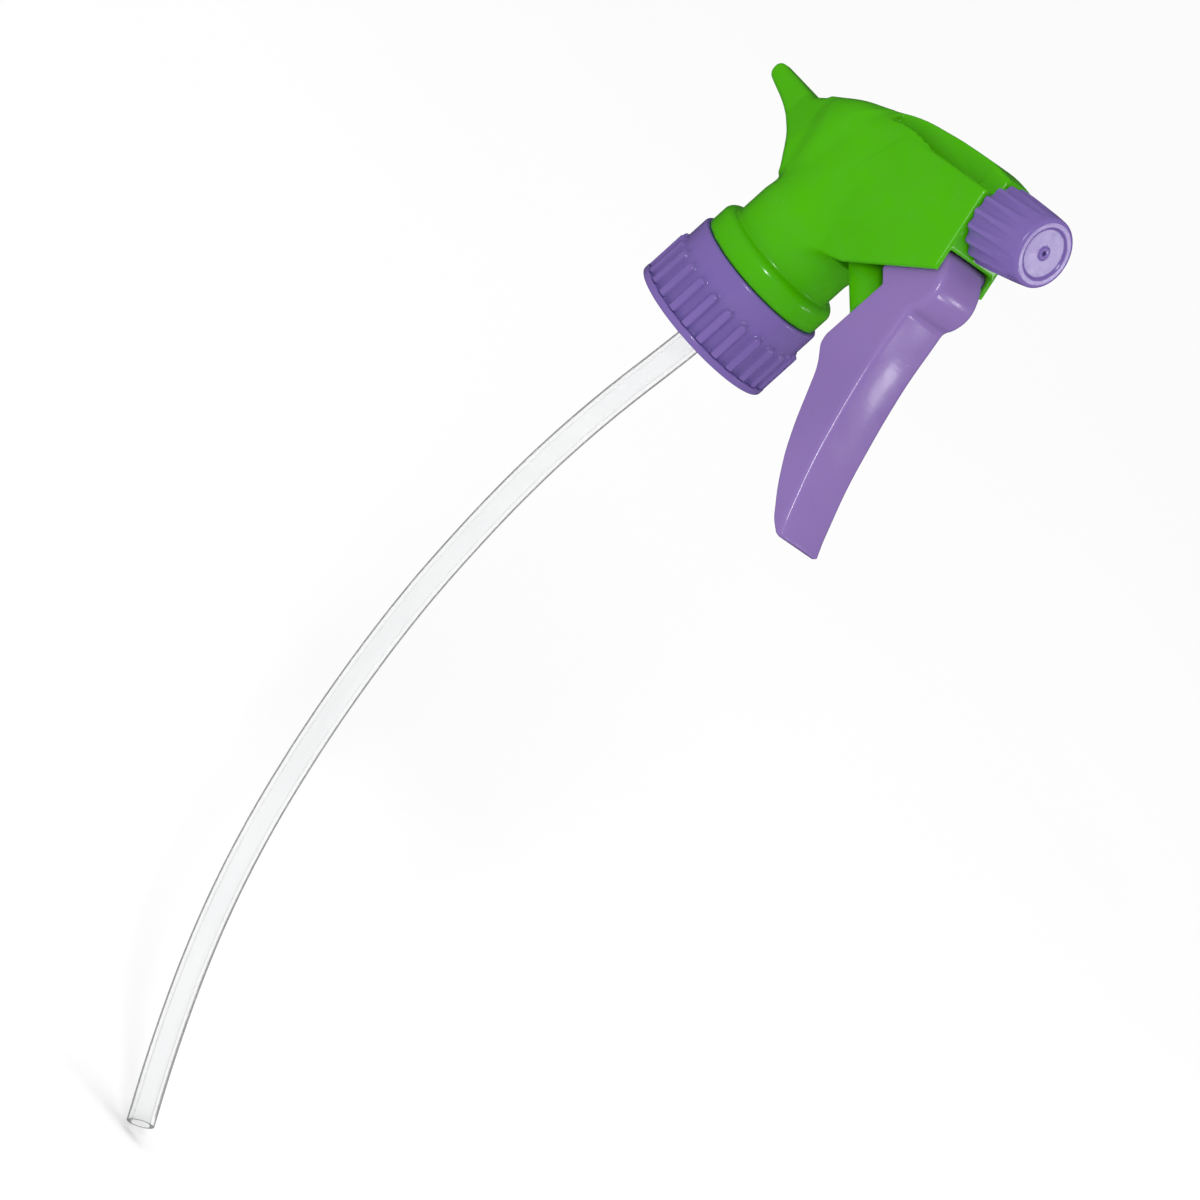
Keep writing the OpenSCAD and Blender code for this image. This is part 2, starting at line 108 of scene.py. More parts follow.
def add_camera():
    azimuth = math.radians(VIEW_AZIMUTH)
    elevation = math.radians(VIEW_ELEVATION)
    back = Vector((
        math.sin(azimuth) * math.cos(elevation),
        -math.cos(azimuth) * math.cos(elevation),
        math.sin(elevation),
    ))
    level_right = Vector((0, 0, 1)).cross(back).normalized()
    level_up = back.cross(level_right)
    roll = math.radians(VIEW_ROLL)
    right = level_right * math.cos(roll) + level_up * math.sin(roll)
    up = back.cross(right)
    data = bpy.data.cameras.new("camera")
    data.sensor_width = 36
    data.lens = data.sensor_width * CAMERA_DISTANCE / VIEW_WIDTH
    data.clip_end = 60
    camera = bpy.data.objects.new("camera", data)
    bpy.context.scene.collection.objects.link(camera)
    turned = Matrix((right, up, back)).transposed().to_4x4()
    camera.matrix_world = Matrix.Translation(VIEW_CENTRE + back * CAMERA_DISTANCE) @ turned
    bpy.context.scene.camera = camera


add_camera()


# ---------- materials ----------

class Nodes:
    """A material's node tree, with short calls to add to it."""

    def __init__(self, name):
        self.material = bpy.data.materials.new(name)
        self.material.use_nodes = True
        self.tree = self.material.node_tree
        self.tree.nodes.clear()
        self.output = self.add("ShaderNodeOutputMaterial")
        self.shader = self.add("ShaderNodeBsdfPrincipled")
        self.link(self.shader, "BSDF", self.output, "Surface")
        self.place = self.add("ShaderNodeTexCoord")

    def add(self, kind, **values):
        node = self.tree.nodes.new(kind)
        for name, value in values.items():
            setattr(node, name, value)
        return node

    def link(self, source, output, target, socket):
        self.tree.links.new(source.outputs[output], target.inputs[socket])

    def noise(self, scale, detail=3.0, roughness=0.5, stretch=None):
        """Noise over the object's own coordinates, in metres, so `scale` is in waves per metre."""
        node = self.add("ShaderNodeTexNoise")
        node.inputs["Scale"].default_value = scale
        node.inputs["Detail"].default_value = detail
        node.inputs["Roughness"].default_value = roughness
        if stretch is None:
            self.link(self.place, "Object", node, "Vector")
        else:
            mapping = self.add("ShaderNodeMapping")
            mapping.inputs["Scale"].default_value = stretch
            self.link(self.place, "Object", mapping, "Vector")
            self.link(mapping, "Vector", node, "Vector")
        return node

    def spread(self, source, output, low, high, to_low, to_high):
        node = self.add("ShaderNodeMapRange")
        sockets = ("From Min", "From Max", "To Min", "To Max")
        for socket, value in zip(sockets, (low, high, to_low, to_high)):
            node.inputs[socket].default_value = value
        self.link(source, output, node, "Value")
        return node

    def mix(self, factor, output, first, second):
        """A colour between two colours, each a tuple or an output of a Mix node."""
        node = self.add("ShaderNodeMix", data_type="RGBA")
        self.tree.links.new(factor.outputs[output], node.inputs[0])
        for socket, value in ((node.inputs[6], first), (node.inputs[7], second)):
            if isinstance(value, tuple):
                socket.default_value = (*value, 1)
            else:
                self.tree.links.new(value.outputs[2], socket)
        return node

    def bump(self, source, output, strength, height, after=None):
        node = self.add("ShaderNodeBump")
        node.inputs["Strength"].default_value = strength
        node.inputs["Distance"].default_value = height
        self.link(source, output, node, "Height")
        if after is not None:
            self.link(after, "Normal", node, "Normal")
        return node

    def set(self, **values):
        for name, value in values.items():
            self.shader.inputs[name.replace("_", " ")].default_value = value


PAINTED_SHADE_REACH = 0.0022            # metres; painted shade darkens a recess whose walls come this near


def moulded_plastic(name, colour, deep, worn, painted_shade=None, roughness=0.2, grain=0.00002, coat=0.3):
    """Glossy injection-moulded plastic.

    Its pigment clouds a little, and it has flow lines, fine pitting and rubbed edges. A colour of
    painted shade, if one is given, darkens the recesses between ribs and flutes, where ambient occlusion
    finds near walls.
    """
    nodes = Nodes(name)
    cloud = nodes.noise(38, detail=2)
    clouded = nodes.spread(cloud, "Fac", 0.35, 0.7, 0, 1)
    pigment = nodes.mix(clouded, "Result", colour, deep)
    corner = nodes.add("ShaderNodeNewGeometry")
    rubbed = nodes.spread(corner, "Pointiness", 0.54, 0.66, 0, 0.25)
    paint = nodes.mix(rubbed, "Result", pigment, worn)
    # painted shade: ambient occlusion darkens the recesses between ribs and flutes
    if painted_shade is not None:
        shade_occlusion = nodes.add("ShaderNodeAmbientOcclusion", samples=6)
        shade_occlusion.inputs["Distance"].default_value = PAINTED_SHADE_REACH
        shaded = nodes.spread(shade_occlusion, "AO", 0.55, 0.95, 1, 0)
        paint = nodes.mix(shaded, "Result", paint, painted_shade)
    nodes.tree.links.new(paint.outputs[2], nodes.shader.inputs["Base Color"])
    handled = nodes.noise(210, detail=5, roughness=0.6)
    gloss = nodes.spread(handled, "Fac", 0.3, 0.75, roughness - 0.06, roughness + 0.1)
    nodes.link(gloss, "Result", nodes.shader, "Roughness")
    flow = nodes.noise(90, detail=2, stretch=(1, 1, 0.35))
    pitting = nodes.noise(2600, detail=2, roughness=0.7)
    swirl = nodes.bump(flow, "Fac", 0.35, 0.00012)
    surface = nodes.bump(pitting, "Fac", 0.5, grain, after=swirl)
    nodes.link(surface, "Normal", nodes.shader, "Normal")
    nodes.set(IOR=1.49, Coat_Weight=coat, Coat_Roughness=0.1, Specular_IOR_Level=0.4, Subsurface_Weight=0.02)
    nodes.shader.inputs["Subsurface Radius"].default_value = (0.0012, 0.0012, 0.0012)
    return nodes.material


green_plastic = moulded_plastic(
    "green_moulding", (0.065, 0.408, 0.0003), (0.058, 0.380, 0.0003), (0.10, 0.48, 0.003))
lever_plastic = moulded_plastic(
    "lever_moulding", (0.238, 0.153, 0.398), (0.218, 0.138, 0.375), (0.34, 0.24, 0.48))
# painted shade: the closure and the nozzle cap take a darker, bluer copy of the lever's purple plastic
shaded_cap_plastic = moulded_plastic(
    "cap_moulding_painted_shade", (0.186, 0.124, 0.375), (0.168, 0.110, 0.352), (0.28, 0.20, 0.46),
    # the last colour is painted shade for the recesses between ribs and flutes
    painted_shade=(0.105, 0.076, 0.275))


# ---------- meshes ----------

def add_piece(name, points, faces, material, body, replaced=()):
    """A smooth-shaded mesh from points in millimetres, riding on a CAD body."""
    mesh = bpy.data.meshes.new(name)
    mesh.from_pydata((np.asarray(points) * MM).tolist(), [], np.asarray(faces).tolist())
    mesh.shade_smooth()
    mesh.materials.append(material)
    piece = bpy.data.objects.new(name, mesh)
    bpy.context.scene.collection.objects.link(piece)
    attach(piece, body)
    if replaced:
        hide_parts(*replaced)
    return piece


def grid_faces(rows, columns, closed_rows, closed_columns):
    """Quads over rows x columns of points."""
    row = np.arange(rows if closed_rows else rows - 1)
    column = np.arange(columns if closed_columns else columns - 1)
    i, k = (part.ravel() for part in np.meshgrid(row, column, indexing="ij"))
    next_i = (i + 1) % rows
    next_k = (k + 1) % columns
    here, there = i * columns, next_i * columns
    return np.stack([here + k, here + next_k, there + next_k, there + k], 1)


def rounded(corners, spacing=None):
    """An outline from corners (a, b, radius), with each corner of some radius turned into a curve."""
    path = []
    count = len(corners)
    for i, (a, b, radius) in enumerate(corners):
        here = np.array([a, b], float)
        if radius == 0:
            path.append(here)
            continue
        before = np.array(corners[i - 1][:2], float) - here
        after = np.array(corners[(i + 1) % count][:2], float) - here
        start = here + before / np.linalg.norm(before) * radius
        end = here + after / np.linalg.norm(after) * radius
        for step in np.linspace(0, 1, 7):
            path.append((1 - step) ** 2 * start + 2 * step * (1 - step) * here + step ** 2 * end)
    if spacing is None:
        return np.array(path)
    filled = []
    for here, there in zip(path, path[1:] + path[:1]):
        parts = max(1, round(float(np.linalg.norm(there - here)) / spacing))
        filled += [here + (there - here) * k / parts for k in range(parts)]
    return np.array(filled)


def lathe(outline, segments, radius_at=None):
    """Points and quads of a closed outline of (radius, height), turned round an axis.

    radius_at(radius, height, angle) reshapes it.
    """
    angle = np.linspace(0, 2 * math.pi, segments, endpoint=False)[None, :]
    radius = np.broadcast_to(outline[:, :1], (len(outline), segments))
    height = np.broadcast_to(outline[:, 1:], (len(outline), segments))
    if radius_at is not None:
        radius = radius_at(radius, height, angle)
    points = np.stack([radius * np.cos(angle), radius * np.sin(angle), height], -1).reshape(-1, 3)
    return points, grid_faces(len(outline), segments, True, True)


def onto_nozzle_axis(points):
    """Points of a lathe round Z, set on the nozzle's axis, as the CAD sets them."""
    lean = Matrix.Rotation(math.pi / 2 - nozzle_tilt, 3, "Y")
    return points @ np.array(lean).T + [0, 0, nozzle_axis_z]


def smooth_step(value, low, high):
    share = np.clip((value - low) / (high - low), 0, 1)
    return share * share * (3 - 2 * share)


# ---------- dip tube: the cord ----------

TUBE_D = 0.0059
TUBE_WALL = 0.0008
TUBE_ROUTE = [
    (0, -0.001), (0, -0.006), (0, -0.011), (-0.0003, -0.017), (-0.0009, -0.024), (-0.0016, -0.031),
    (-0.0022, -0.039), (-0.0025, -0.048), (-0.0024, -0.057), (-0.0018, -0.067), (-0.0006, -0.078),
    (0.0012, -0.090), (0.0035, -0.101), (0.0064, -0.112), (0.0098, -0.123), (0.0138, -0.134),
    (0.0184, -0.145), (0.0236, -0.1555), (0.0294, -0.1655), (0.0358, -0.175), (0.0426, -0.184),
    (0.050, -0.193), (0.058, -0.202),
]


def smooth_route(route, parts=6):
    """A Catmull-Rom curve through the route's points."""
    knots = np.array([route[0], *route, route[-1]], float)
    knots[0] = 2 * knots[1] - knots[2]
    knots[-1] = 2 * knots[-2] - knots[-3]
    curve = []
    for p0, p1, p2, p3 in zip(knots, knots[1:], knots[2:], knots[3:]):
        for step in np.arange(parts) / parts:
            curve.append(0.5 * (2 * p1 + (p2 - p0) * step + (2 * p0 - 5 * p1 + 4 * p2 - p3) * step ** 2
                                + (3 * p1 - p0 - 3 * p2 + p3) * step ** 3))
    return np.array(curve + [knots[-2]])


def clear_polyethylene():
    """Milky clear extruded tube, with faint draw lines along it."""
    nodes = Nodes("clear_tube")
    haze = nodes.noise(55, detail=3)
    tint = nodes.spread(haze, "Fac", 0.3, 0.7, 0, 1)
    colour = nodes.mix(tint, "Result", (0.995, 0.997, 1.0), (0.97, 0.975, 0.98))
    nodes.tree.links.new(colour.outputs[2], nodes.shader.inputs["Base Color"])
    draw = nodes.noise(900, detail=2, stretch=(1, 1, 0.04))
    frost = nodes.spread(draw, "Fac", 0.3, 0.7, 0.10, 0.22)
    nodes.link(frost, "Result", nodes.shader, "Roughness")
    lines = nodes.bump(draw, "Fac", 0.35, 0.00004)
    nodes.link(lines, "Normal", nodes.shader, "Normal")
    nodes.set(IOR=1.12, Transmission_Weight=0.9, Alpha=0.8)
    return nodes.material


def add_dip_tube():
    route = smooth_route(TUBE_ROUTE)
    along = np.gradient(route, axis=0)
    along /= np.linalg.norm(along, axis=1)[:, None]
    normal = np.stack([-along[:, 1], along[:, 0]], 1)
    angle = np.linspace(0, 2 * math.pi, 48, endpoint=False)
    outer_r = TUBE_D / 2
    inner_r = outer_r - TUBE_WALL
    rings = []
    skins = ((outer_r, range(len(route))), (inner_r, range(len(route) - 1, -1, -1)))
    for radius, order in skins:
        for i in order:
            out = radius * np.cos(angle)
            rings.append(np.stack([
                route[i, 0] + out * normal[i, 0],
                radius * np.sin(angle),
                route[i, 1] + out * normal[i, 1],
            ], 1))
    points = np.concatenate(rings) / MM
    faces = grid_faces(len(rings), len(angle), True, True)
    tube = add_piece(
        "dip_tube_clear", points, faces, clear_polyethylene(), "head", ["dip_tube"])


add_dip_tube()


# ---------- distance fields, for the mouldings with soft blends ----------

def outline_distance(outline, a, b):
    """Distance from (a, b) to a closed outline, negative inside it."""
    squared = np.full(np.broadcast(a, b).shape, np.inf)
    inside = np.zeros(squared.shape, bool)
    for (a0, b0), (a1, b1) in zip(outline, np.roll(outline, -1, axis=0)):
        edge_a, edge_b = a1 - a0, b1 - b0
        if edge_a == 0 and edge_b == 0:
            continue
        share = ((a - a0) * edge_a + (b - b0) * edge_b) / (edge_a ** 2 + edge_b ** 2)
        share = np.clip(share, 0, 1)
        squared = np.minimum(squared, (a - a0 - edge_a * share) ** 2 + (b - b0 - edge_b * share) ** 2)
        if edge_b != 0:
            crossed = ((b0 > b) != (b1 > b)) & (a < a0 + edge_a * (b - b0) / edge_b)
            inside ^= crossed
    return np.where(inside, -1, 1) * np.sqrt(squared)


def corner_of(first, second, edge):
    """Where two distances meet at right angles, with an edge of that radius."""
    u, v = first + edge, second + edge
    return np.minimum(np.maximum(u, v), 0) + np.hypot(np.maximum(u, 0), np.maximum(v, 0)) - edge


def slab(outline, x, y, z, half, edge):
    """An outline in X-Z, given a width centred on Y = 0."""
    return corner_of(outline_distance(outline, x, z), np.abs(y) - half, edge)


def rod(along, around, start, end, radius, edge=0.2):
    return corner_of(np.abs(along - (start + end) / 2) - (end - start) / 2, around - radius, edge)


def join(first, second, blend):
    share = np.clip(0.5 + 0.5 * (second - first) / blend, 0, 1)
    return second * (1 - share) + first * share - blend * share * (1 - share)


def cut(solid, hole, blend=0.2):
    return -join(-solid, hole, blend)


def mesh_of_field(field, low, high, step):
    """Points and quads of the surface where a distance field is zero, each point moved exactly onto it."""
    low = np.array(low) - 4 * step
    axes = [np.arange(a, b + 4 * step, step) for a, b in zip(low, high)]
    x, y, z = np.meshgrid(*axes, indexing="ij", sparse=True)
    grid = openvdb.FloatGrid(4 * step)
    grid.copyFromArray(np.ascontiguousarray(field(x, y, z), dtype=np.float32))
    points, quads = grid.convertToQuads(0.0)
    points = points.astype(float) * step + low
    probe = step / 8
    for _ in range(3):
        value = field(*points.T)
        slope = np.stack([(field(*(points + offset).T) - value) / probe for offset in np.eye(3) * probe], 1)
        steep = np.maximum((slope ** 2).sum(1), 0.25)
        move = slope * (value / steep)[:, None]
        points -= np.clip(move, -step / 2, step / 2)
    return points, quads[:, ::-1]


def along_nozzle(x, z):
    """Distance along the nozzle's axis and height over it."""
    cos, sin = math.cos(nozzle_tilt), math.sin(nozzle_tilt)
    rise = z - nozzle_axis_z
    return x * cos + rise * sin, rise * cos - x * sin


def nozzle_point(s, t):
    """The point in X-Z that is s along the nozzle's axis and t over it."""
    cos, sin = math.cos(nozzle_tilt), math.sin(nozzle_tilt)
    return s * cos - t * sin, nozzle_axis_z + s * sin + t * cos


def along_pump(x, z):
    cos, sin = math.cos(pump_drop), math.sin(pump_drop)
    rise = z - pump_axis_z
    return x * cos - rise * sin, rise * cos + x * sin


# ---------- housing ----------

FRONT_S = 34.5                   # the shroud's front face, along the nozzle's axis
BODY_HALF = 8.8
INNER_HALF = 7.4
RAIL_HALF = 4.5
NECK_R = 13.0
COLLAR_R = 15.4
COLLAR_Z = housing_low[2]
COLLAR_FOOT = COLLAR_Z - 0.18    # the collar all but touches the closure
PUMP_R = 5.4
PUMP_BORE_R = 4.3
PUMP_END = 32.0
BARREL_END = FRONT_S + 10.5
BARREL_ROOT_R = 5.0
BARREL_R = 5.6
CHAMBER_R = 3.4
PIVOT_R = 2.0
SOCKET_HALF = 7.95               # how far out the blind pivot sockets reach

WALLS = np.array([
    nozzle_point(FRONT_S, 4.7), nozzle_point(18, 5.6), nozzle_point(8, 5.4), (3, 38), (3, 26),
    (9, 18.2), (18.5, 22.9), nozzle_point(FRONT_S, -14.4),
])
DOME = rounded([
    (*nozzle_point(29, -6), 0), (*nozzle_point(29, 2), 0),
    (*nozzle_point(17, 8.0), 4), (*nozzle_point(6, 10.2), 5),
    (-6, 47.3, 3), (-12.5, 43.2, 3), (-17, 37, 3), (-13, 28, 4), (-8, 20, 0), (8, 20, 0),
])
DOME_EDGE = 5.5                  # how round the dome's shoulders are
RAIL = rounded([
    (*nozzle_point(FRONT_S, -6.2), 0), (*nozzle_point(FRONT_S, 9.0), 1.2), (*nozzle_point(28.5, 10.4), 3),
    (*nozzle_point(16, 10.9), 5), (*nozzle_point(6, 10.5), 5), (-6, 47.5, 3), (-12.5, 43.6, 3),
    (-19.5, 38.4, 0), (-15, 34, 0), (0, 30, 0),
])
BAY = np.array([
    nozzle_point(FRONT_S + 8, -9.5), nozzle_point(33.2, -9.5),
    nozzle_point(32.2, -6.2), nozzle_point(14, -6.2),
    (8, 36.5), (4, 33), (0, 30), (0, 24.5), (12, 23.5), (16, 19), (30, 14), (52, 30),
])
GROOVE = np.array([
    nozzle_point(FRONT_S - 6.5, 2), nozzle_point(FRONT_S - 5.5, 14), nozzle_point(2, 14),
    nozzle_point(0, 7.4), nozzle_point(8, 4), nozzle_point(14, 2),
])
TAIL = rounded([
    (-8, 22, 0), (-13, 20.6, 0), (-16.5, 23.5, 1.5), (-21, 26.0, 2), (-29.3, 28.3, 3), (-39.0, 29.0, 1.9),
    (-39.5, 32.6, 1.9), (-24.4, 34.8, 1.5), (-19, 39.0, 1), (-12.5, 43.6, 3), (-6, 46, 0),
])
TAIL_X = (-40, -26, -16, -6)     # the tail widens and softens between these places along X
TAIL_HALF = (2.0, 3.4, 6.8, 8.6)
TAIL_EDGE = (1.5, 1.6, 2.6, 4.0)
NECK_TAPER = 4.4                 # how much the neck's radius shrinks between these two heights
NECK_TAPER_Z = (17, 34)


def housing_field(x, y, z):
    s, t = along_nozzle(x, z)
    u, w = along_pump(x, z)
    r = np.hypot(x, y)
    around_nozzle = np.hypot(t, y)
    around_pump = np.hypot(w, y)

    shoulder = NECK_R - NECK_TAPER * smooth_step(z, *NECK_TAPER_Z)
    neck = corner_of((r - shoulder) * 0.96, np.abs(z - 22) - 17, 3)
    neck = np.maximum(neck, COLLAR_FOOT - z)
    collar = rod(z, r, COLLAR_FOOT, COLLAR_Z + 5.6, COLLAR_R, 1.9)
    collar_foot = rod(z, r, COLLAR_FOOT, COLLAR_Z + 3.4, COLLAR_R, 0.25)
    neck = join(neck, np.minimum(collar, collar_foot), 0.7)

    tail_half = np.interp(x, TAIL_X, TAIL_HALF)
    tail_edge = np.interp(x, TAIL_X, TAIL_EDGE)
    tail = corner_of(outline_distance(TAIL, x, z), np.abs(y) - tail_half, tail_edge)

    body = join(slab(DOME, x, y, z, BODY_HALF, DOME_EDGE), tail, 3)
    body = join(body, slab(RAIL, x, y, z, RAIL_HALF, 1.0), 2.0)
    body = join(body, slab(WALLS, x, y, z, BODY_HALF, 0.9), 0.8)
    body = join(body, neck, 3)

    groove = corner_of(
        outline_distance(GROOVE, x, z), np.abs(np.abs(y) - (INNER_HALF + RAIL_HALF) / 2)
        - (INNER_HALF - RAIL_HALF) / 2, 0.4)
    body = cut(body, groove, 0.5)
    body = cut(body, slab(BAY, x, y, z, INNER_HALF, 0.5), 0.4)
    body = cut(body, rod(z, r, 3, 21.5, NECK_R - 1.8, 1.0))

    body = join(body, rod(z, r, 8.4, nozzle_axis_z, 5.8), 0.4)
    body = join(body, rod(u, around_pump, 0, PUMP_END, PUMP_R, 0.35), 0.7)
    body = cut(body, rod(z, r, 0, 28.3, 4.1))
    body = cut(body, rod(z, r, 20, nozzle_axis_z, 2))
    body = cut(body, rod(u, around_pump, 0, 9, 1.5))
    body = cut(body, rod(u, around_pump, 8, 60, PUMP_BORE_R), 0.3)
    body = cut(body, rod(s, around_nozzle, 0, 28, 1.6))
    body = cut(body, rod(s, around_nozzle, 27, 60, CHAMBER_R))
    pivot_r = np.hypot(x - pivot_x, z - pivot_z)
    return cut(body, corner_of(np.abs(y) - SOCKET_HALF, pivot_r - PIVOT_R - 0.05, 0.2), 0.2)


def add_housing():
    step = 0.4
    points, quads = mesh_of_field(housing_field, housing_low, housing_high, step)
    add_piece("housing_moulding", points, quads, green_plastic, "head", ["housing"])


def add_barrel():
    """The nozzle's threaded barrel, in the same moulding as the housing."""
    lead = 3.0

    def threaded(radius, height, angle):
        turn = (height - FRONT_S - 2.4) / lead - angle / (2 * math.pi)
        from_groove = np.abs((turn + 0.5) % 1 - 0.5) * lead
        crest = smooth_step(from_groove, 0.8, 1.1) * smooth_step(height, FRONT_S + 3.2, FRONT_S + 3.8)
        crest = np.where(height > FRONT_S + 3.4, crest, 0)
        on_thread = (radius > BARREL_ROOT_R - 0.01) & (height > FRONT_S + 1.6) & (height < BARREL_END - 0.3)
        return np.where(on_thread, BARREL_ROOT_R + (BARREL_R - BARREL_ROOT_R) * crest, radius)

    outline = rounded([
        (CHAMBER_R, FRONT_S - 0.6, 0), (BARREL_R, FRONT_S - 0.6, 0), (BARREL_R, FRONT_S + 1.4, 0.2),
        (BARREL_ROOT_R, FRONT_S + 1.7, 0), (BARREL_ROOT_R, BARREL_END, 0.25), (CHAMBER_R, BARREL_END, 0.2),
    ], spacing=0.22)
    points, quads = lathe(outline, 120, threaded)
    add_piece("nozzle_barrel", onto_nozzle_axis(points), quads, green_plastic, "head")


# ---------- closure ----------

RIB_COUNT = 24
RIB_HALF = 1.15


def add_closure():
    recess_r = band_r - 1.1
    crest_r = 12.95
    band_top = closure_top - 5.5
    rib_foot = rim_z + 1.6
    pitch = 4.23

    def shaped(radius, height, angle):
        place = angle * RIB_COUNT / (2 * math.pi)
        aside = np.abs((place + 0.5) % 1 - 0.5) * 2 * math.pi * band_r / RIB_COUNT
        past_end = np.maximum(height - (band_top - 0.35 - RIB_HALF), 0)
        from_rib = np.hypot(aside, past_end)
        rib = 1 - smooth_step(from_rib, RIB_HALF - 0.45, RIB_HALF + 0.2)
        on_band = (radius > recess_r - 0.02) & (radius < recess_r + 0.02) & (height > rib_foot - 0.1)
        shaped_r = np.where(on_band, radius + (band_r - 0.08 - recess_r) * rib, radius)
        turn = (height - (rim_z - 0.5)) / pitch - angle / (2 * math.pi)
        from_groove = np.abs((turn + 0.5) % 1 - 0.5) * pitch
        groove = 1 - smooth_step(from_groove, 1.0, 1.35)
        on_thread = (radius < crest_r + 0.01) & (height < -1.2) & (height > rim_z + 1.5)
        return np.where(on_thread, shaped_r + 1.2 * groove, shaped_r)

    outline = rounded([
        (crest_r + 1.2, rim_z, 0.3), (band_r, rim_z, 0.55), (band_r, rib_foot, 0.35),
        (recess_r, rib_foot + 0.25, 0), (recess_r, closure_top, 0.7),
        (11.5, closure_top, 0.2), (11.5, closure_top - 1.3, 0.2), (crest_r + 0.2, closure_top - 1.3, 0.2),
        (crest_r + 0.2, 1.4, 0), (crest_r, 1.4, 0),
        (crest_r, rim_z + 1.5, 0), (crest_r + 1.2, rim_z + 1.5, 0),
    ], spacing=0.3)
    points, quads = lathe(outline, RIB_COUNT * 20, shaped)
    add_piece("closure_ribbed", points, quads, shaded_cap_plastic, "closure", ["closure"])


# ---------- trigger ----------

STUB_HALF = SOCKET_HALF - 0.1
FLANGE_HALF = 6.9
CHANNEL_HALF = 5.75
TRIGGER_FRONT = [
    (pivot_x - 2, pivot_z + 2.3, 0.5), (pivot_x + 1.5, pivot_z + 2.3, 1.2),
    (pivot_x + 5.2, pivot_z - 0.6, 1.6), (pivot_x + 7.3, pivot_z - 3.6, 1.6),
    (pivot_x + 7.9, pivot_z - 6.6, 1.6), (pivot_x + 7.2, pivot_z - 9.6, 0.9),
    (39.5, 29.0, 0.9), (40.7, 25.2, 2), (42.9, 17.7, 4), (46.5, 8.7, 5), (52.9, -4.9, 5), (59.7, -15.7, 1.2),
    (62, -18.7, 0.5),
]
TRIGGER_REAR = [
    (60.6, -19.6, 0.4), (56.8, -18.2, 1.2), (51, -14, 2.5), (45.6, -9, 2.5), (41.3, -3.8, 3),
    (34.1, 6.6, 2.5), (30, 9.6, 0.8), (29.2, 11.5, 0.7),
    (29.4, 27.4, 0.5), (26, 29.3, 0.5), (26, 36, 1.5), (28.5, 41, 1.5),
]
CHANNEL = rounded([
    (38.4, 36, 0), (38.9, 33.2, 1), (38.6, 31, 1), (37.6, 28.4, 1), (38.6, 24.8, 2), (40.8, 17.2, 3),
    (44.4, 8, 4), (50.8, -5.6, 4), (56.4, -14.4, 0), (54, -24, 0), (10, -10, 0), (10, 36, 0),
])
TRIGGER_OUTLINE = rounded(TRIGGER_FRONT + TRIGGER_REAR)
TRIGGER_ROUND_FRONT = rounded(TRIGGER_FRONT + [(40, -40, 0), (0, -20, 0), (0, 50, 0), (25, 50, 0)])


def trigger_field(x, y, z):
    crown = 0.35 * (y / FLANGE_HALF) ** 2
    lever = corner_of(outline_distance(TRIGGER_OUTLINE, x, z), np.abs(y) - FLANGE_HALF, 0.3)
    front = corner_of(outline_distance(TRIGGER_ROUND_FRONT, x, z) + crown, np.abs(y) - FLANGE_HALF, 1.3)
    lever = np.maximum(lever, front)
    lever = cut(lever, slab(CHANNEL, x, y, z, CHANNEL_HALF, 0.8), 0.2)
    u, w = along_pump(x, z)
    pusher = corner_of(corner_of(np.abs(w) - 2.5, np.abs(u - 44) - 2, 0.3), np.abs(y) - 5.9, 0.1)
    lever = join(lever, np.maximum(pusher, outline_distance(TRIGGER_OUTLINE, x, z) + 0.5), 0.6)
    stub = corner_of(np.hypot(x - pivot_x, z - pivot_z) - PIVOT_R, np.abs(y) - STUB_HALF, 0.3)
    stub = np.maximum(stub, FLANGE_HALF - 0.8 - np.abs(y))
    return join(lever, stub, 0.2)


def add_trigger():
    step = 0.3
    points, quads = mesh_of_field(trigger_field, trigger_low, trigger_high, step)
    add_piece("trigger_lever", points, quads, lever_plastic, "trigger", ["trigger"])


# ---------- nozzle cap ----------

FLUTE_COUNT = 16
FLUTE_R = 1.5
CAP_L = 14.9
CAP_START = FRONT_S + 0.5
CAP_REAR_R = 8.9
CAP_FRONT_R = 7.7


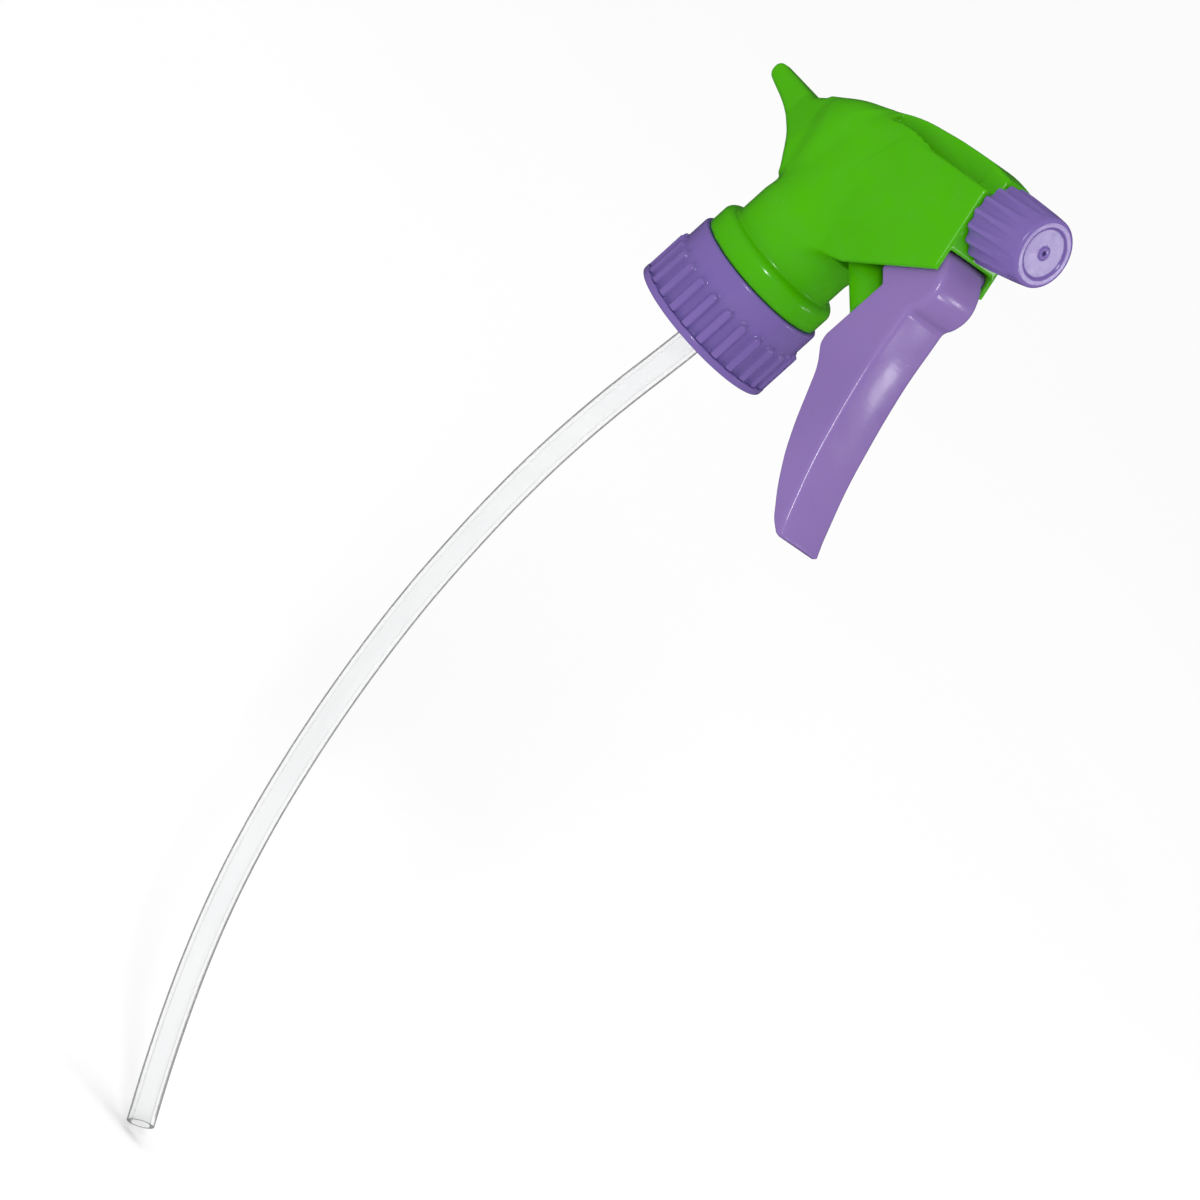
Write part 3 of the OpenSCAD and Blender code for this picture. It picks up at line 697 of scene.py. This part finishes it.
def add_nozzle_cap():
    end = CAP_START + CAP_L
    floor = BARREL_END + 1.0
    thread_r = BARREL_ROOT_R + 0.15
    lead = 3.0

    def fluted(radius, height, angle):
        place = angle * FLUTE_COUNT / (2 * math.pi)
        aside = np.abs(place % 1 - 0.5) * 2 * math.pi * CAP_REAR_R / FLUTE_COUNT
        scoop = np.sqrt(np.maximum(FLUTE_R ** 2 - aside ** 2, 0))
        bottom = CAP_REAR_R + 0.6 - 0.008 * (height - CAP_START) - scoop
        outside = radius > 6.3
        scooped = join(radius, bottom, 0.15)
        scooped = np.where(aside < FLUTE_R, scooped, radius)
        turn = (height - FRONT_S - 2.4 + lead / 2) / lead - angle / (2 * math.pi)
        from_groove = np.abs((turn + 0.5) % 1 - 0.5) * lead
        groove = 1 - smooth_step(from_groove, 0.8, 1.15)
        on_thread = (radius < thread_r + 0.01) & (radius > thread_r - 0.01) & (height < floor - 1.2)
        inner = np.where(on_thread, radius + 0.6 * groove, radius)
        return np.where(outside, scooped, inner)

    outline = rounded([
        (thread_r + 0.75, CAP_START, 0.2), (CAP_REAR_R, CAP_START, 0.4),
        (CAP_REAR_R - 0.1, CAP_START + 3.5, 2),
        (CAP_FRONT_R + 0.35, end - 3.0, 1.5), (CAP_FRONT_R, end - 0.5, 0.3), (CAP_FRONT_R - 0.5, end, 0.4),
        (CAP_FRONT_R - 2.0, end, 0.25), (CAP_FRONT_R - 2.3, end - 0.4, 0.2), (1.5, end - 0.4, 0.2),
        (1.2, end - 0.1, 0.2), (0.5, end - 0.2, 0.1), (0.5, floor, 0), (5.65, floor, 0),
        (5.65, floor - 1.05, 0), (thread_r, floor - 1.1, 0), (thread_r, CAP_START + 1.2, 0),
        (thread_r + 0.75, CAP_START + 1.2, 0),
    ], spacing=0.22)
    points, quads = lathe(outline, FLUTE_COUNT * 18, fluted)
    add_piece("nozzle_cap_fluted", onto_nozzle_axis(points), quads, shaded_cap_plastic, "nozzle_cap",
              ["nozzle_cap"])


add_housing()
add_barrel()
add_closure()
add_trigger()
add_nozzle_cap()


# ---------- carried-over CAD nodes ----------

def natural_polypropylene():
    nodes = Nodes("natural_polypropylene")
    cloud = nodes.noise(60, detail=3)
    tint = nodes.spread(cloud, "Fac", 0.3, 0.7, 0, 1)
    colour = nodes.mix(tint, "Result", (0.80, 0.80, 0.76), (0.70, 0.71, 0.67))
    nodes.tree.links.new(colour.outputs[2], nodes.shader.inputs["Base Color"])
    grain = nodes.noise(1500, detail=3, roughness=0.65)
    gloss = nodes.spread(grain, "Fac", 0.3, 0.7, 0.32, 0.5)
    nodes.link(gloss, "Result", nodes.shader, "Roughness")
    surface = nodes.bump(grain, "Fac", 0.4, 0.00002)
    nodes.link(surface, "Normal", nodes.shader, "Normal")
    nodes.set(Subsurface_Weight=0.2, IOR=1.49)
    nodes.shader.inputs["Subsurface Radius"].default_value = (0.002, 0.002, 0.0018)
    return nodes.material


def soft_seal():
    nodes = Nodes("soft_seal")
    cloud = nodes.noise(90, detail=4)
    tint = nodes.spread(cloud, "Fac", 0.3, 0.7, 0, 1)
    colour = nodes.mix(tint, "Result", (0.72, 0.72, 0.68), (0.60, 0.61, 0.58))
    nodes.tree.links.new(colour.outputs[2], nodes.shader.inputs["Base Color"])
    grain = nodes.noise(2400, detail=3, roughness=0.7)
    gloss = nodes.spread(grain, "Fac", 0.3, 0.7, 0.55, 0.75)
    nodes.link(gloss, "Result", nodes.shader, "Roughness")
    surface = nodes.bump(grain, "Fac", 0.6, 0.00003)
    nodes.link(surface, "Normal", nodes.shader, "Normal")
    nodes.set(Subsurface_Weight=0.1, IOR=1.45)
    return nodes.material


def stainless_steel():
    nodes = Nodes("stainless_steel")
    drawn = nodes.noise(1800, detail=3, stretch=(1, 1, 0.15))
    tint = nodes.spread(drawn, "Fac", 0.3, 0.7, 0, 1)
    colour = nodes.mix(tint, "Result", (0.62, 0.62, 0.63), (0.50, 0.50, 0.51))
    nodes.tree.links.new(colour.outputs[2], nodes.shader.inputs["Base Color"])
    gloss = nodes.spread(drawn, "Fac", 0.3, 0.7, 0.18, 0.34)
    nodes.link(gloss, "Result", nodes.shader, "Roughness")
    surface = nodes.bump(drawn, "Fac", 0.3, 0.00001)
    nodes.link(surface, "Normal", nodes.shader, "Normal")
    nodes.set(Metallic=1.0)
    return nodes.material


def finish_cad_nodes():
    """Gives the CAD nodes that stay in view their materials."""
    finishes = (
        (natural_polypropylene(), ("intake", "piston", "spinner")),
        (soft_seal(), ("gasket", "piston_cup", "outlet_valve", "nozzle_packing")),
        (stainless_steel(), ("inlet_ball", "return_spring", "outlet_spring")),
    )
    for material, names in finishes:
        for name in names:
            mesh = frame["nodes"][name].data
            mesh.materials.clear()
            mesh.materials.append(material)


finish_cad_nodes()


# ---------- floor and light ----------

def add_floor():
    half = 6.0
    height = cad_box[0][2] - 0.001
    mesh = bpy.data.meshes.new("floor")
    corners = [(-half, -half, height), (half, -half, height), (half, half, height), (-half, half, height)]
    mesh.from_pydata(corners, [], [(0, 1, 2, 3)])
    nodes = Nodes("floor_paint")
    cloud = nodes.noise(3, detail=4)
    tint = nodes.spread(cloud, "Fac", 0.3, 0.7, 0, 1)
    colour = nodes.mix(tint, "Result", (0.99, 0.99, 0.99), (0.975, 0.975, 0.975))
    nodes.tree.links.new(colour.outputs[2], nodes.shader.inputs["Base Color"])
    nodes.set(Roughness=0.9, Specular_IOR_Level=0.0)
    mesh.materials.append(nodes.material)
    floor = bpy.data.objects.new("floor", mesh)
    floor.visible_glossy = False
    bpy.context.scene.collection.objects.link(floor)


def add_world():
    """An even white room. Glossy surfaces see it dark, so that they only mirror the soft boxes."""
    world = bpy.data.worlds.new("white_room")
    world.use_nodes = True
    tree = world.node_tree
    tree.nodes.clear()
    output = tree.nodes.new("ShaderNodeOutputWorld")
    path = tree.nodes.new("ShaderNodeLightPath")
    mixed = tree.nodes.new("ShaderNodeMixShader")
    lit = tree.nodes.new("ShaderNodeBackground")
    lit.inputs["Color"].default_value = (1, 1, 1, 1)
    lit.inputs["Strength"].default_value = 0.94
    dim = tree.nodes.new("ShaderNodeBackground")
    dim.inputs["Color"].default_value = (1, 1, 1, 1)
    dim.inputs["Strength"].default_value = 0.03
    tree.links.new(path.outputs["Is Glossy Ray"], mixed.inputs["Fac"])
    tree.links.new(lit.outputs["Background"], mixed.inputs[1])
    tree.links.new(dim.outputs["Background"], mixed.inputs[2])
    tree.links.new(mixed.outputs["Shader"], output.inputs["Surface"])
    bpy.context.scene.world = world


def add_soft_box(name, place, target, size, watts):
    data = bpy.data.lights.new(name, "AREA")
    data.shape = "RECTANGLE"
    data.size, data.size_y = size
    data.energy = watts
    light = bpy.data.objects.new(name, data)
    light.location = place
    light.rotation_euler = (Vector(target) - Vector(place)).to_track_quat("-Z", "Y").to_euler()
    bpy.context.scene.collection.objects.link(light)


add_floor()
add_world()
add_soft_box("front", (1.17, -1.37, 0.86), (0.01, 0, 0.02), (0.12, 0.6), 11)
add_soft_box("window", (1.42, 1.07, 0.26), (0.04, 0, 0.02), (0.1, 0.2), 1.2)
add_soft_box("glow", (1.18, 1.32, 0.51), (0.045, 0, 0.057), (0.2, 0.2), 1.0)
bpy.context.scene.view_settings.view_transform = "Standard"
